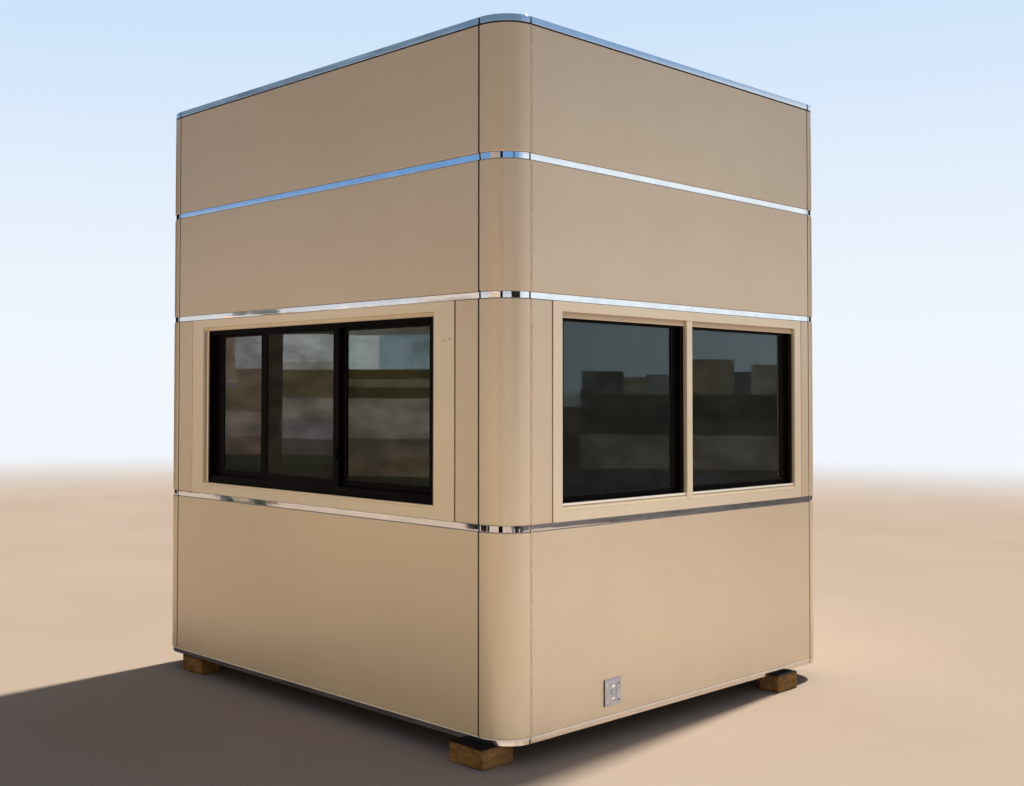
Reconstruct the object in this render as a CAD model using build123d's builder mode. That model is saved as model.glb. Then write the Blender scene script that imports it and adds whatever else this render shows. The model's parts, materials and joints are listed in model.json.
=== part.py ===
"""Guard booth: a square steel-framed cabin with rounded corners, clad in metal trays between polished strips.

Front is -Y and the right side is +X. The origin is at ground level, under the middle of the booth.
"""
from build123d import *
import math
import os

os.makedirs("parts", exist_ok=True)

# Plan
body_width = 2700
body_depth = 2700
corner_radius = 160

# Heights of the rows, from the bottom of the base frame upwards
block_height = 90
base_trim_height = 29
lower_row_height = 877
window_row_height = 979
second_row_height = 574
top_row_height = 562
strip_height = 31
coping_height = 36

# Depths, measured inwards from the outer face
cladding_depth = 25
tray_skin = 4
strip_recess = 5
base_trim_recess = 4
wall_thickness = 60
coping_overhang = 10

# Gaps between pieces of cladding
seam_gap = 6
strip_joint = 2

# Base frame, floor and roof
rail_height = 100
joist_width = 50
joist_clear_gap = 270
floor_thickness = 18
room_height = 2430
ceiling_thickness = 12
roof_recess = 120
roof_thickness = 50

# Blocks under the booth: length along X, length along Y, then the inset from each outer face, negative where
# a block stands proud of it
front_right_block = (200, 205, 78, -65)
front_left_block = (190, 145, 214, 4)
back_right_block = (120, 200, -38, 370)
back_left_block = (200, 205, -38, -65)

# Window row: the narrow trays beside each window, and the surround round its opening
front_side_tray_width = 136
near_side_tray_width = 136
far_side_tray_width = 76
front_surround_left_width = 107
front_surround_right_width = 130
side_surround_width = 66
window_sill_margin = 52
window_height = 882
front_lip = 18
side_lip = 27
lip_setback = 16
mullion_width = 46
mullion_shift = -15

# Sliding window of the front wall
track_frame_width = 40
track_frame_head = 34
sash_thickness = 22
outer_sash_setback = 8
sash_track_gap = 3
sash_stile = 42
left_sash_jamb_stile = 75
left_sash_meeting_stile = 120
sash_top_rail = 20
sash_bottom_rail = 45
left_sash_width = 595
right_sash_width = 682
left_sash_overlap = 130
right_sash_overlap = 24
glass_thickness = 6

# Windows of the side walls
side_frame_width = 25
mullion_half_gap = 4
side_sash_setback = 20
side_sash_thickness = 25
side_sash_stile = 35
side_sash_top_rail = 8
side_sash_bottom_rail = 26

# Door in the back wall
door_shift = 480
door_width = 860
door_height = 1980
door_clearance = 4
door_frame_width = 45
door_sill_height = 25
door_setback = 20
door_thickness = 40
door_stop = 12
handle_height = 1000
handle_inset = 70
handle_plate_width = 42
handle_plate_height = 210
handle_plate_thickness = 6
lever_length = 125
lever_thickness = 16
lever_reach = 40

# Outlet plate low on the right side
plate_size = 120
plate_thickness = 8
plate_from_corner = 565
plate_height = 135
plate_insert_width = 50
plate_insert_height = 80
plate_insert_depth = 3

# Levels worked out from the row heights
base_level = block_height
lower_row_bottom = base_level + base_trim_height
sill_strip_bottom = lower_row_bottom + lower_row_height
window_row_bottom = sill_strip_bottom + strip_height
head_strip_bottom = window_row_bottom + window_row_height
second_row_bottom = head_strip_bottom + strip_height
upper_strip_bottom = second_row_bottom + second_row_height
top_row_bottom = upper_strip_bottom + strip_height
coping_bottom = top_row_bottom + top_row_height
booth_top = coping_bottom + coping_height
rail_top = base_level + rail_height
floor_top = rail_top + floor_thickness
window_sill = window_row_bottom + window_sill_margin
window_head = window_sill + window_height
ceiling_bottom = floor_top + room_height
roof_top = booth_top - roof_recess

# Planes of the four sides: across to the right, up, and out of the wall
wall_depth = cladding_depth + wall_thickness
side_planes = {
    "front": Plane(origin=(0, -body_depth / 2, 0), x_dir=(1, 0, 0), z_dir=(0, -1, 0)),
    "right": Plane(origin=(body_width / 2, 0, 0), x_dir=(0, 1, 0), z_dir=(1, 0, 0)),
    "back": Plane(origin=(0, body_depth / 2, 0), x_dir=(-1, 0, 0), z_dir=(0, 1, 0)),
    "left": Plane(origin=(-body_width / 2, 0, 0), x_dir=(0, -1, 0), z_dir=(-1, 0, 0)),
}
half_run = {
    "front": body_width / 2 - corner_radius,
    "right": body_depth / 2 - corner_radius,
    "back": body_width / 2 - corner_radius,
    "left": body_depth / 2 - corner_radius,
}
corner_turns = {(1, 1): 0, (-1, 1): 90, (-1, -1): 180, (1, -1): 270}


def side_box(side, across, up, depth, mode=Mode.ADD):
    """Add or cut a box on one side, between two distances across it, two levels and two depths."""
    middle = Pos((across[0] + across[1]) / 2, (up[0] + up[1]) / 2, -(depth[0] + depth[1]) / 2)
    with Locations(side_planes[side].location * middle):
        Box(across[1] - across[0], up[1] - up[0], depth[1] - depth[0], mode=mode)


def plan_box(along_x, along_y, up, mode=Mode.ADD):
    """Add or cut an upright box between two X values, two Y values and two levels."""
    middle = ((along_x[0] + along_x[1]) / 2, (along_y[0] + along_y[1]) / 2, (up[0] + up[1]) / 2)
    with Locations(middle):
        Box(along_x[1] - along_x[0], along_y[1] - along_y[0], up[1] - up[0], mode=mode)


def corner_sector(corner, radius, up, mode=Mode.ADD):
    """Add or cut a quarter cylinder about the centre of one rounded corner, between two levels."""
    centre_x = corner[0] * half_run["front"]
    centre_y = corner[1] * half_run["right"]
    middle = Location((centre_x, centre_y, (up[0] + up[1]) / 2), (0, 0, corner_turns[corner]))
    axis_on_corner = (Align.MIN, Align.MIN, Align.CENTER)
    with Locations(middle):
        Cylinder(radius, up[1] - up[0], arc_size=90, align=axis_on_corner, mode=mode)


def tray(side, across, up):
    """Add one cladding tray: a thin skin with folded edges that stand on the wall behind."""
    side_box(side, across, up, (0, cladding_depth))
    inside_across = (across[0] + tray_skin, across[1] - tray_skin)
    inside_up = (up[0] + tray_skin, up[1] - tray_skin)
    side_box(side, inside_across, inside_up, (tray_skin, cladding_depth), mode=Mode.SUBTRACT)


def strip_runs(up, recess, depth, door_gap=False):
    """Add a band round the booth: four straight lengths and four corner lengths, with joints between."""
    for side in side_planes:
        run = half_run[side] - strip_joint
        if side == "back" and door_gap:
            side_box(side, (-run, door_left_edge), up, (recess, depth))
            side_box(side, (door_right_edge, run), up, (recess, depth))
        else:
            side_box(side, (-run, run), up, (recess, depth))
    for corner in corner_turns:
        corner_sector(corner, corner_radius - recess, up)


def room_plate(up):
    """Add a plate that fills the plan between the walls and is notched round the corner posts."""
    inner_x = body_width / 2 - wall_depth
    inner_y = body_depth / 2 - wall_depth
    plan_box((-inner_x, inner_x), (-half_run["right"], half_run["right"]), up)
    plan_box((-half_run["front"], half_run["front"]), (-inner_y, inner_y), up)


# Door levels and edges, in the back wall's own directions
door_frame_half = door_width / 2 + door_clearance + door_frame_width
door_left_edge = door_shift - door_frame_half
door_right_edge = door_shift + door_frame_half
door_leaf_bottom = rail_top + door_sill_height + door_clearance
door_leaf_top = door_leaf_bottom + door_height
door_frame_top = door_leaf_top + door_clearance + door_frame_width

# Window edges, in each wall's own directions
front_surround_edge = half_run["front"] - 2 * seam_gap - front_side_tray_width
near_surround_edge = half_run["right"] - 2 * seam_gap - near_side_tray_width
far_surround_edge = half_run["right"] - 2 * seam_gap - far_side_tray_width
surrounds = {
    "front": (-front_surround_edge, front_surround_edge),
    "right": (-near_surround_edge, far_surround_edge),
    "left": (-far_surround_edge, near_surround_edge),
}
near_edge = near_surround_edge - side_surround_width
far_edge = far_surround_edge - side_surround_width
openings = {
    "front": (
        -front_surround_edge + front_surround_left_width,
        front_surround_edge - front_surround_right_width,
    ),
    "right": (-near_edge, far_edge),
    "left": (-far_edge, near_edge),
}
mullion_centre = (far_edge - near_edge) / 2 + mullion_shift
mullion_centres = {"right": mullion_centre, "left": -mullion_centre}

# Foot blocks: loose blocks that the base frame rests on
with BuildPart() as foot_blocks:
    for corner, block in {
        (1, -1): front_right_block,
        (-1, -1): front_left_block,
        (1, 1): back_right_block,
        (-1, 1): back_left_block,
    }.items():
        length_x, length_y, inset_x, inset_y = block
        block_x = corner[0] * (body_width / 2 - inset_x - length_x / 2)
        block_y = corner[1] * (body_depth / 2 - inset_y - length_y / 2)
        with BuildSketch(Plane.XY):
            with Locations((block_x, block_y)):
                Rectangle(length_x, length_y)
        extrude(amount=block_height)

# Base frame: rails between the corner posts, and joists between the front and back rails
with BuildPart() as base_rails:
    for side in side_planes:
        run = half_run[side]
        side_box(side, (-run, run), (base_level, rail_top), (cladding_depth, wall_depth))

joist_span = 2 * half_run["front"]
joist_count = math.ceil((joist_span + joist_clear_gap) / (joist_width + joist_clear_gap))
joist_spacing = (joist_span - joist_width) / (joist_count - 1)
with BuildPart() as base_joists:
    with Locations((0, 0, base_level + rail_height / 2)):
        with GridLocations(joist_spacing, 1, joist_count, 1):
            Box(joist_width, body_depth - 2 * wall_depth, rail_height)

with BuildPart() as floor_deck:
    room_plate((rail_top, floor_top))

# Corner posts: rounded outside, square inside, from the base to the coping
with BuildPart() as corner_posts:
    for corner in corner_turns:
        corner_sector(corner, corner_radius - cladding_depth, (base_level, coping_bottom))

# Walls of the three window sides: below, above and beside each window
wall_parts = {}
for side, opening in openings.items():
    run = half_run[side]
    core = (cladding_depth, wall_depth)
    with BuildPart() as wall_lower:
        side_box(side, (-run, run), (rail_top, window_sill), core)
    with BuildPart() as wall_piers:
        side_box(side, (-run, opening[0]), (window_sill, window_head), core)
        side_box(side, (opening[1], run), (window_sill, window_head), core)
    with BuildPart() as wall_upper:
        side_box(side, (-run, run), (window_head, coping_bottom), core)
    wall_parts[f"{side}_wall_lower"] = wall_lower.part
    wall_parts[f"{side}_wall_piers"] = wall_piers.part
    wall_parts[f"{side}_wall_upper"] = wall_upper.part

# Back wall: a pier each side of the door, and the wall over it
back_core = (cladding_depth, wall_depth)
with BuildPart() as back_wall_piers:
    side_box("back", (-half_run["back"], door_left_edge), (rail_top, coping_bottom), back_core)
    side_box("back", (door_right_edge, half_run["back"]), (rail_top, coping_bottom), back_core)
with BuildPart() as back_wall_upper:
    side_box("back", (door_left_edge, door_right_edge), (door_frame_top, coping_bottom), back_core)

# Cladding trays of the window sides: a lower tray, one each side of the window, and two above
cladding_parts = {}
for side, surround in surrounds.items():
    edge = half_run[side] - seam_gap
    with BuildPart() as cladding:
        tray(side, (-edge, edge), (lower_row_bottom, sill_strip_bottom))
        tray(side, (-edge, surround[0] - seam_gap), (window_row_bottom, head_strip_bottom))
        tray(side, (surround[1] + seam_gap, edge), (window_row_bottom, head_strip_bottom))
        tray(side, (-edge, edge), (second_row_bottom, upper_strip_bottom))
        tray(side, (-edge, edge), (top_row_bottom, coping_bottom))
    cladding_parts[f"{side}_cladding"] = cladding.part

# Cladding trays of the back: beside the door in three rows, under it, over it, and the top row
with BuildPart() as back_cladding:
    edge = half_run["back"] - seam_gap
    for across in ((-edge, door_left_edge - seam_gap), (door_right_edge + seam_gap, edge)):
        tray("back", across, (lower_row_bottom, sill_strip_bottom))
        tray("back", across, (window_row_bottom, head_strip_bottom))
        tray("back", across, (second_row_bottom, upper_strip_bottom))
    tray("back", (door_left_edge, door_right_edge), (lower_row_bottom, rail_top))
    tray("back", (door_left_edge, door_right_edge), (door_frame_top, upper_strip_bottom))
    tray("back", (-edge, edge), (top_row_bottom, coping_bottom))

# Corner panels: rolled quarter-round skins with flanges at top and bottom, one for each row
rows = (
    (lower_row_bottom, sill_strip_bottom),
    (window_row_bottom, head_strip_bottom),
    (second_row_bottom, upper_strip_bottom),
    (top_row_bottom, coping_bottom),
)
corner_names = {
    (1, -1): "front_right_corner_panels",
    (-1, -1): "front_left_corner_panels",
    (1, 1): "back_right_corner_panels",
    (-1, 1): "back_left_corner_panels",
}
corner_parts = {}
for corner, corner_name in corner_names.items():
    with BuildPart() as corner_panels:
        for row in rows:
            corner_sector(corner, corner_radius, row)
            inside_row = (row[0] + tray_skin, row[1] - tray_skin)
            corner_sector(corner, corner_radius - tray_skin, inside_row, mode=Mode.SUBTRACT)
            corner_sector(corner, corner_radius - cladding_depth, row, mode=Mode.SUBTRACT)
    corner_parts[corner_name] = corner_panels.part

# Polished strips between the rows, the trim at the foot and the coping at the top
band_core = (base_level, coping_bottom)
with BuildPart() as base_trim:
    strip_runs((base_level, lower_row_bottom), base_trim_recess, cladding_depth)
    for corner in corner_turns:
        corner_sector(corner, corner_radius - cladding_depth, band_core, mode=Mode.SUBTRACT)
with BuildPart() as sill_strip:
    strip_runs((sill_strip_bottom, window_row_bottom), strip_recess, cladding_depth, door_gap=True)
    for corner in corner_turns:
        corner_sector(corner, corner_radius - cladding_depth, band_core, mode=Mode.SUBTRACT)
with BuildPart() as head_strip:
    strip_runs((head_strip_bottom, second_row_bottom), strip_recess, cladding_depth, door_gap=True)
    for corner in corner_turns:
        corner_sector(corner, corner_radius - cladding_depth, band_core, mode=Mode.SUBTRACT)
with BuildPart() as upper_strip:
    strip_runs((upper_strip_bottom, top_row_bottom), strip_recess, cladding_depth)
    for corner in corner_turns:
        corner_sector(corner, corner_radius - cladding_depth, band_core, mode=Mode.SUBTRACT)
with BuildPart() as coping:
    strip_runs((coping_bottom, booth_top), 0, wall_depth + coping_overhang)

# Ceiling and roof deck: plates between the walls
with BuildPart() as ceiling:
    room_plate((ceiling_bottom, ceiling_bottom + ceiling_thickness))
with BuildPart() as roof_deck:
    room_plate((roof_top - roof_thickness, roof_top))

# Window surrounds: a flat frame that fills the window row, with a lip set back round the opening
surround_parts = {}
for side, opening in openings.items():
    lip_sides = front_lip if side == "front" else 0
    lip_ends = front_lip if side == "front" else side_lip
    clear_across = (opening[0] + lip_sides, opening[1] - lip_sides)
    clear_up = (window_sill + lip_ends, window_head - lip_ends)
    with BuildPart() as surround:
        row = (window_row_bottom, head_strip_bottom)
        side_box(side, surrounds[side], row, (0, cladding_depth))
        side_box(side, opening, (window_sill, window_head), (0, lip_setback), mode=Mode.SUBTRACT)
        side_box(side, clear_across, clear_up, (lip_setback, cladding_depth), mode=Mode.SUBTRACT)
        if side in mullion_centres:
            centre = mullion_centres[side]
            mullion = (centre - mullion_width / 2, centre + mullion_width / 2)
            side_box(side, mullion, (window_sill, window_head), (0, cladding_depth))
    surround_parts[f"{side}_window_surround"] = surround.part

# Front sliding window: a track frame, and three sashes on two tracks
front_opening = openings["front"]
track_inner = (front_opening[0] + track_frame_width, front_opening[1] - track_frame_width)
track_up = (window_sill + track_frame_width, window_head - track_frame_head)
with BuildPart() as front_window_frame:
    side_box("front", front_opening, (window_sill, window_head), (cladding_depth, wall_depth))
    side_box("front", track_inner, track_up, (cladding_depth, wall_depth), mode=Mode.SUBTRACT)

outer_track = cladding_depth + outer_sash_setback
inner_track = outer_track + sash_thickness + sash_track_gap
left_sash_end = track_inner[0] + left_sash_width
right_sash_start = track_inner[1] - right_sash_width
middle_across = (left_sash_end - left_sash_overlap, right_sash_start + right_sash_overlap)
front_sashes = (
    ((track_inner[0], left_sash_end), inner_track, left_sash_jamb_stile, left_sash_meeting_stile),
    (middle_across, outer_track, sash_stile, sash_stile),
    ((right_sash_start, track_inner[1]), inner_track, sash_stile, sash_stile),
)
pane_up = (track_up[0] + sash_bottom_rail, track_up[1] - sash_top_rail)
with BuildPart() as front_window_sashes:
    for across, track, left_stile, right_stile in front_sashes:
        depth = (track, track + sash_thickness)
        pane_across = (across[0] + left_stile, across[1] - right_stile)
        side_box("front", across, track_up, depth)
        side_box("front", pane_across, pane_up, depth, mode=Mode.SUBTRACT)
with BuildPart() as front_window_glass:
    for across, track, left_stile, right_stile in front_sashes:
        middle = track + sash_thickness / 2
        depth = (middle - glass_thickness / 2, middle + glass_thickness / 2)
        side_box("front", (across[0] + left_stile, across[1] - right_stile), pane_up, depth)

# Side windows: two framed panes, one each side of the mullion
side_sash_parts = {}
side_glass_parts = {}
sash_front = cladding_depth + side_sash_setback
sash_back = sash_front + side_sash_thickness
frame_up = (window_sill + side_lip, window_head - side_lip)
glass_up = (frame_up[0] + side_sash_bottom_rail, frame_up[1] - side_sash_top_rail)
for side, centre in mullion_centres.items():
    opening = openings[side]
    mullion_side = mullion_width / 2 - mullion_half_gap + side_frame_width
    bays = (
        (opening[0], centre - mullion_half_gap, side_frame_width, mullion_side),
        (centre + mullion_half_gap, opening[1], mullion_side, side_frame_width),
    )
    glass_middle = (sash_front + sash_back) / 2
    glass_depth = (glass_middle - glass_thickness / 2, glass_middle + glass_thickness / 2)
    with BuildPart() as side_sashes:
        for start, end, start_frame, end_frame_width in bays:
            frame_across = (start + start_frame, end - end_frame_width)
            glass_across = (frame_across[0] + side_sash_stile, frame_across[1] - side_sash_stile)
            side_box(side, (start, end), (window_sill, window_head), (cladding_depth, wall_depth))
            side_box(side, frame_across, frame_up, (cladding_depth, sash_front), mode=Mode.SUBTRACT)
            side_box(side, frame_across, frame_up, (sash_back, wall_depth), mode=Mode.SUBTRACT)
            side_box(side, glass_across, glass_up, (sash_front, sash_back), mode=Mode.SUBTRACT)
    with BuildPart() as side_glass:
        for start, end, start_frame, end_frame_width in bays:
            glass_across = (start + start_frame + side_sash_stile, end - end_frame_width - side_sash_stile)
            side_box(side, glass_across, glass_up, glass_depth)
    side_sash_parts[f"{side}_window_sashes"] = side_sashes.part
    side_glass_parts[f"{side}_window_glass"] = side_glass.part

# Door: a frame with a stop, a plain leaf closed against it, and a lever handle
door_clear = (door_left_edge + door_frame_width, door_right_edge - door_frame_width)
door_clear_up = (rail_top + door_sill_height, door_frame_top - door_frame_width)
leaf_back = door_setback + door_thickness
with BuildPart() as door_frame:
    side_box("back", (door_left_edge, door_right_edge), (rail_top, door_frame_top), (0, wall_depth))
    side_box("back", door_clear, door_clear_up, (0, leaf_back), mode=Mode.SUBTRACT)
    stop_across = (door_clear[0] + door_stop, door_clear[1] - door_stop)
    stop_up = (door_clear_up[0], door_clear_up[1] - door_stop)
    side_box("back", stop_across, stop_up, (leaf_back, wall_depth), mode=Mode.SUBTRACT)
leaf_across = (door_clear[0] + door_clearance, door_clear[1] - door_clearance)
with BuildPart() as door_leaf:
    side_box("back", leaf_across, (door_leaf_bottom, door_leaf_top), (door_setback, leaf_back))

handle_across = leaf_across[1] - handle_inset
handle_level = door_leaf_bottom + handle_height
with BuildPart() as door_handle:
    leaf_face = side_planes["back"].offset(-door_setback)
    with BuildSketch(leaf_face):
        with Locations((handle_across, handle_level)):
            RectangleRounded(handle_plate_width, handle_plate_height, handle_plate_width / 4)
    extrude(amount=handle_plate_thickness)
    with BuildSketch(leaf_face.offset(handle_plate_thickness)):
        with Locations((handle_across, handle_level)):
            Circle(lever_thickness / 2)
    extrude(amount=lever_reach)
    with BuildSketch(leaf_face.offset(handle_plate_thickness + lever_reach - lever_thickness)):
        with Locations((handle_across - lever_length / 2, handle_level)):
            SlotOverall(lever_length + lever_thickness, lever_thickness)
    extrude(amount=lever_thickness)

# Outlet plate: a square plate with a sunk insert, screwed to the lower tray
with BuildPart() as outlet_plate:
    plate_across = plate_from_corner - half_run["right"]
    plate_level = base_level + plate_height
    with BuildSketch(side_planes["right"]):
        with Locations((plate_across, plate_level)):
            RectangleRounded(plate_size, plate_size, plate_thickness / 2)
    extrude(amount=plate_thickness)
    plate_front = outlet_plate.faces().sort_by(Axis.X)[-1]
    chamfer(plate_front.edges(), plate_thickness / 4)
    with BuildSketch(side_planes["right"].offset(plate_thickness)):
        with Locations((plate_across, plate_level)):
            Rectangle(plate_insert_width, plate_insert_height)
    extrude(amount=-plate_insert_depth, mode=Mode.SUBTRACT)

pieces = {
    "foot_blocks": foot_blocks.part,
    "base_rails": base_rails.part,
    "base_joists": base_joists.part,
    "floor_deck": floor_deck.part,
    "corner_posts": corner_posts.part,
    **wall_parts,
    "back_wall_piers": back_wall_piers.part,
    "back_wall_upper": back_wall_upper.part,
    **cladding_parts,
    "back_cladding": back_cladding.part,
    **corner_parts,
    "base_trim": base_trim.part,
    "sill_strip": sill_strip.part,
    "head_strip": head_strip.part,
    "upper_strip": upper_strip.part,
    "coping": coping.part,
    "ceiling": ceiling.part,
    "roof_deck": roof_deck.part,
    **surround_parts,
    "front_window_frame": front_window_frame.part,
    "front_window_sashes": front_window_sashes.part,
    "front_window_glass": front_window_glass.part,
    **side_sash_parts,
    **side_glass_parts,
    "door_frame": door_frame.part,
    "door_leaf": door_leaf.part,
    "door_handle": door_handle.part,
    "outlet_plate": outlet_plate.part,
}
for name, piece in pieces.items():
    piece.label = name
    export_step(piece, f"parts/{name}.step")
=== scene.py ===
"""Looks of the guard booth: materials, folded metal pieces and fittings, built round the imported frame."""
import json
from math import copysign, cos, degrees, pi, radians, sin

import bmesh
import bpy
from mathutils import Matrix, Vector, noise


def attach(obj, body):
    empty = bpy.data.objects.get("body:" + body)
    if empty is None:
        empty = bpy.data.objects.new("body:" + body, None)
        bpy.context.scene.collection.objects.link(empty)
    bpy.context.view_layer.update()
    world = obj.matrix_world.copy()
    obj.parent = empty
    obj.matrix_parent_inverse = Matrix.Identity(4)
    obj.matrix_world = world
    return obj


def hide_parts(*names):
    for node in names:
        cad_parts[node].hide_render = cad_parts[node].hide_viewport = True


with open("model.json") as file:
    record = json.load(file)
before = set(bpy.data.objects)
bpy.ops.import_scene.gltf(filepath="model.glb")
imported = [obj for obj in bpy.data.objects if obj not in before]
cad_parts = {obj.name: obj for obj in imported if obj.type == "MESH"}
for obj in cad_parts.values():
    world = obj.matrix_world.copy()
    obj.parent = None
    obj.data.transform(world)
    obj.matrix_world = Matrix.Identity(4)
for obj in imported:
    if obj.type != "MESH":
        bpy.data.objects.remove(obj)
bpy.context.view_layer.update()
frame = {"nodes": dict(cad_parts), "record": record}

# Sizes repeated from the source of the part, in metres
HALF, RUN, RADIUS = 1.35, 1.19, 0.16
CLAD, WALL = 0.025, 0.085
SEAM, JOINT = 0.006, 0.003
ROWS = ((0.119, 0.996), (1.027, 2.006), (2.037, 2.611), (2.642, 3.204))
STRIPS = {"sill_strip": (0.996, 1.027), "head_strip": (2.006, 2.037), "upper_strip": (2.611, 2.642)}
BASE_TRIM, COPING = (0.09, 0.119), (3.204, 3.24)
STRIP_RECESS, TRIM_RECESS = 0.005, 0.004
BASE, RAIL_TOP, ROOF_TOP = 0.09, 0.19, 3.12
SILL, HEAD = 1.079, 1.961

SURROUND = {"front": (-1.042, 1.042), "right": (-1.042, 1.102), "left": (-1.102, 1.042)}
OPENING = {"front": (-0.935, 0.912), "right": (-0.976, 1.036), "left": (-1.036, 0.976)}
MULLION = {"right": 0.015, "left": -0.015}
DOOR_FRAME = (-0.001, 0.961)
DOOR_FRAME_TOP = 2.248
DOOR_LEAF = (0.048, 0.912)
DOOR_LEVELS = (0.219, 2.199)
FRONT_SASHES = (
    ((-0.895, -0.3), (0.058, 0.08), (0.075, 0.12)),
    ((-0.43, 0.214), (0.033, 0.055), (0.042, 0.042)),
    ((0.19, 0.872), (0.058, 0.08), (0.042, 0.042)),
)
OUTLET = Vector((-0.625, 0.225))
BLOCKS = (
    ((1.072, 1.272), (-1.415, -1.21)),
    ((-1.136, -0.946), (-1.346, -1.201)),
    ((1.268, 1.388), (0.78, 0.98)),
    ((-1.388, -1.188), (1.21, 1.415)),
)

SIDES = {
    "front": ((1, 0), (0, -1)),
    "right": ((0, 1), (1, 0)),
    "back": ((-1, 0), (0, 1)),
    "left": ((0, -1), (-1, 0)),
}
CORNERS = {
    "front_right": (1, -1, -90),
    "front_left": (-1, -1, 180),
    "back_right": (1, 1, 0),
    "back_left": (-1, 1, 90),
}

# Thickness of folded sheet, gaps at fits and at strips, and the width that sections for ring() are drawn at
SHEET, FIT, EASE, NOMINAL = 0.002, 0.0003, 0.0012, 0.2


def at(side, across, up, depth):
    """A point of one side, from its distance across, its level and its depth behind the face."""
    (across_x, across_y), (out_x, out_y) = SIDES[side]
    reach = HALF - depth
    return Vector((across_x * across + out_x * reach, across_y * across + out_y * reach, up))


def new_object(name, data):
    made = bpy.data.objects.new(name, data)
    bpy.context.scene.collection.objects.link(made)
    return made


def mesh_object(name, bm, material):
    """An object from a bmesh, which is freed."""
    mesh = bpy.data.meshes.new(name)
    bm.to_mesh(mesh)
    bm.free()
    mesh.materials.append(material)
    return new_object(name, mesh)


# Camera
def add_camera():
    """The photograph's camera, in its frame of 1024 by 786 pixels."""
    width, height = 1024, 786
    focal, centre_x, centre_y = 1199.1348, 355.7707, 362.0963
    data = bpy.data.cameras.new("camera")
    data.sensor_fit = "HORIZONTAL"
    data.sensor_width = 36
    data.lens = focal / width * data.sensor_width
    data.shift_x = (width / 2 - centre_x) / width
    data.shift_y = (centre_y - height / 2) / width
    data.clip_end = 200
    pitch, yaw, roll = radians(1.5315), radians(48.8563), radians(0.2177)
    upright = Matrix.Rotation(yaw, 4, "Z") @ Matrix.Rotation(pi / 2 + pitch, 4, "X")
    place = Matrix.Translation((4.75537, -5.17315, 1.58871))
    camera = new_object("camera", data)
    camera.matrix_world = place @ upright @ Matrix.Rotation(roll, 4, "Z")
    bpy.context.scene.camera = camera


# Node trees
class Nodes:
    """A node tree, with short ways to add to it. place is where patterns are read, and parts its axes."""

    def __init__(self, tree, coordinate):
        self.tree = tree
        self.place = self.node("TexCoord").outputs[coordinate]
        self.parts = self.node("SeparateXYZ", {0: self.place}).outputs

    def node(self, kind, inputs=None, **settings):
        made = self.tree.nodes.new("ShaderNode" + kind)
        for key, value in settings.items():
            setattr(made, key, value)
        for key, value in (inputs or {}).items():
            if isinstance(value, bpy.types.NodeSocket):
                self.tree.links.new(value, made.inputs[key])
            else:
                made.inputs[key].default_value = value
        return made

    def noise(self, scale, detail=2, rough=0.5, stretch=None, warp=0):
        vector = self.place
        if stretch:
            vector = self.node("VectorMath", {0: vector, 1: stretch}, operation="MULTIPLY").outputs[0]
        inputs = {"Vector": vector, "Scale": scale, "Detail": detail, "Roughness": rough, "Distortion": warp}
        return self.node("TexNoise", inputs).outputs["Fac"]

    def spread(self, value, low=0.3, high=0.7, to_low=0, to_high=1):
        inputs = {"Value": value, "From Min": low, "From Max": high, "To Min": to_low, "To Max": to_high}
        return self.node("MapRange", inputs, interpolation_type="SMOOTHSTEP").outputs["Result"]

    def work(self, operation, *values):
        return self.node("Math", dict(enumerate(values)), operation=operation).outputs[0]

    def sum(self, first, second):
        return self.work("ADD", first, second)

    def times(self, first, second):
        return self.work("MULTIPLY", first, second)

    def mix(self, factor, first, second):
        inputs = {0: factor}
        for slot, colour in ((6, first), (7, second)):
            inputs[slot] = colour if isinstance(colour, bpy.types.NodeSocket) else (*colour, 1)
        return self.node("Mix", inputs, data_type="RGBA").outputs[2]


class Look(Nodes):
    """A Principled material in object coordinates, which are metres. Its base colour is laid on in layers."""

    def __init__(self, name, constants, colour=(0, 0, 0)):
        self.material = bpy.data.materials.new(name)
        self.material.use_nodes = True
        super().__init__(self.material.node_tree, "Object")
        self.shader = self.tree.nodes["Principled BSDF"]
        for socket, value in constants.items():
            self.shader.inputs[socket].default_value = value
        self.colour = self.base = colour

    def tone(self, amount):
        return tuple(channel * amount for channel in self.colour)

    def mottle(self, value, dark, light, low=0.3, high=0.7):
        """Start the base as two tones of the look's colour."""
        self.base = self.mix(self.spread(value, low, high), self.tone(dark), self.tone(light))

    def lay(self, factor, over):
        """Lay a colour over the base. A number stands for that tone of the look's own colour."""
        if isinstance(over, (int, float)):
            over = self.tone(over)
        self.base = self.mix(factor, self.base, over)

    def facing_up(self, low, high):
        normal = self.node("NewGeometry").outputs["Normal"]
        return self.spread(self.node("SeparateXYZ", {0: normal}).outputs[2], low, high)

    def bump(self, height, distance, strength=1, under=None):
        inputs = {"Height": height, "Distance": distance, "Strength": strength}
        if under:
            inputs["Normal"] = under
        return self.node("Bump", inputs).outputs["Normal"]

    def done(self, rough, normal):
        for socket, value in (("Base Color", self.base), ("Roughness", rough), ("Normal", normal)):
            self.tree.links.new(value, self.shader.inputs[socket])
        return self.material

    def surface(self, shader):
        self.tree.links.new(shader.outputs[0], self.tree.nodes["Material Output"].inputs["Surface"])


# Materials
DUST = (0.4, 0.33, 0.26)
# A dark brown painted as shade in recesses
PAINTED_RECESS_SHADE = (0.13, 0.06, 0.022)
RUST = ((0.16, 0.055, 0.02), (0.3, 0.13, 0.05))


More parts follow.
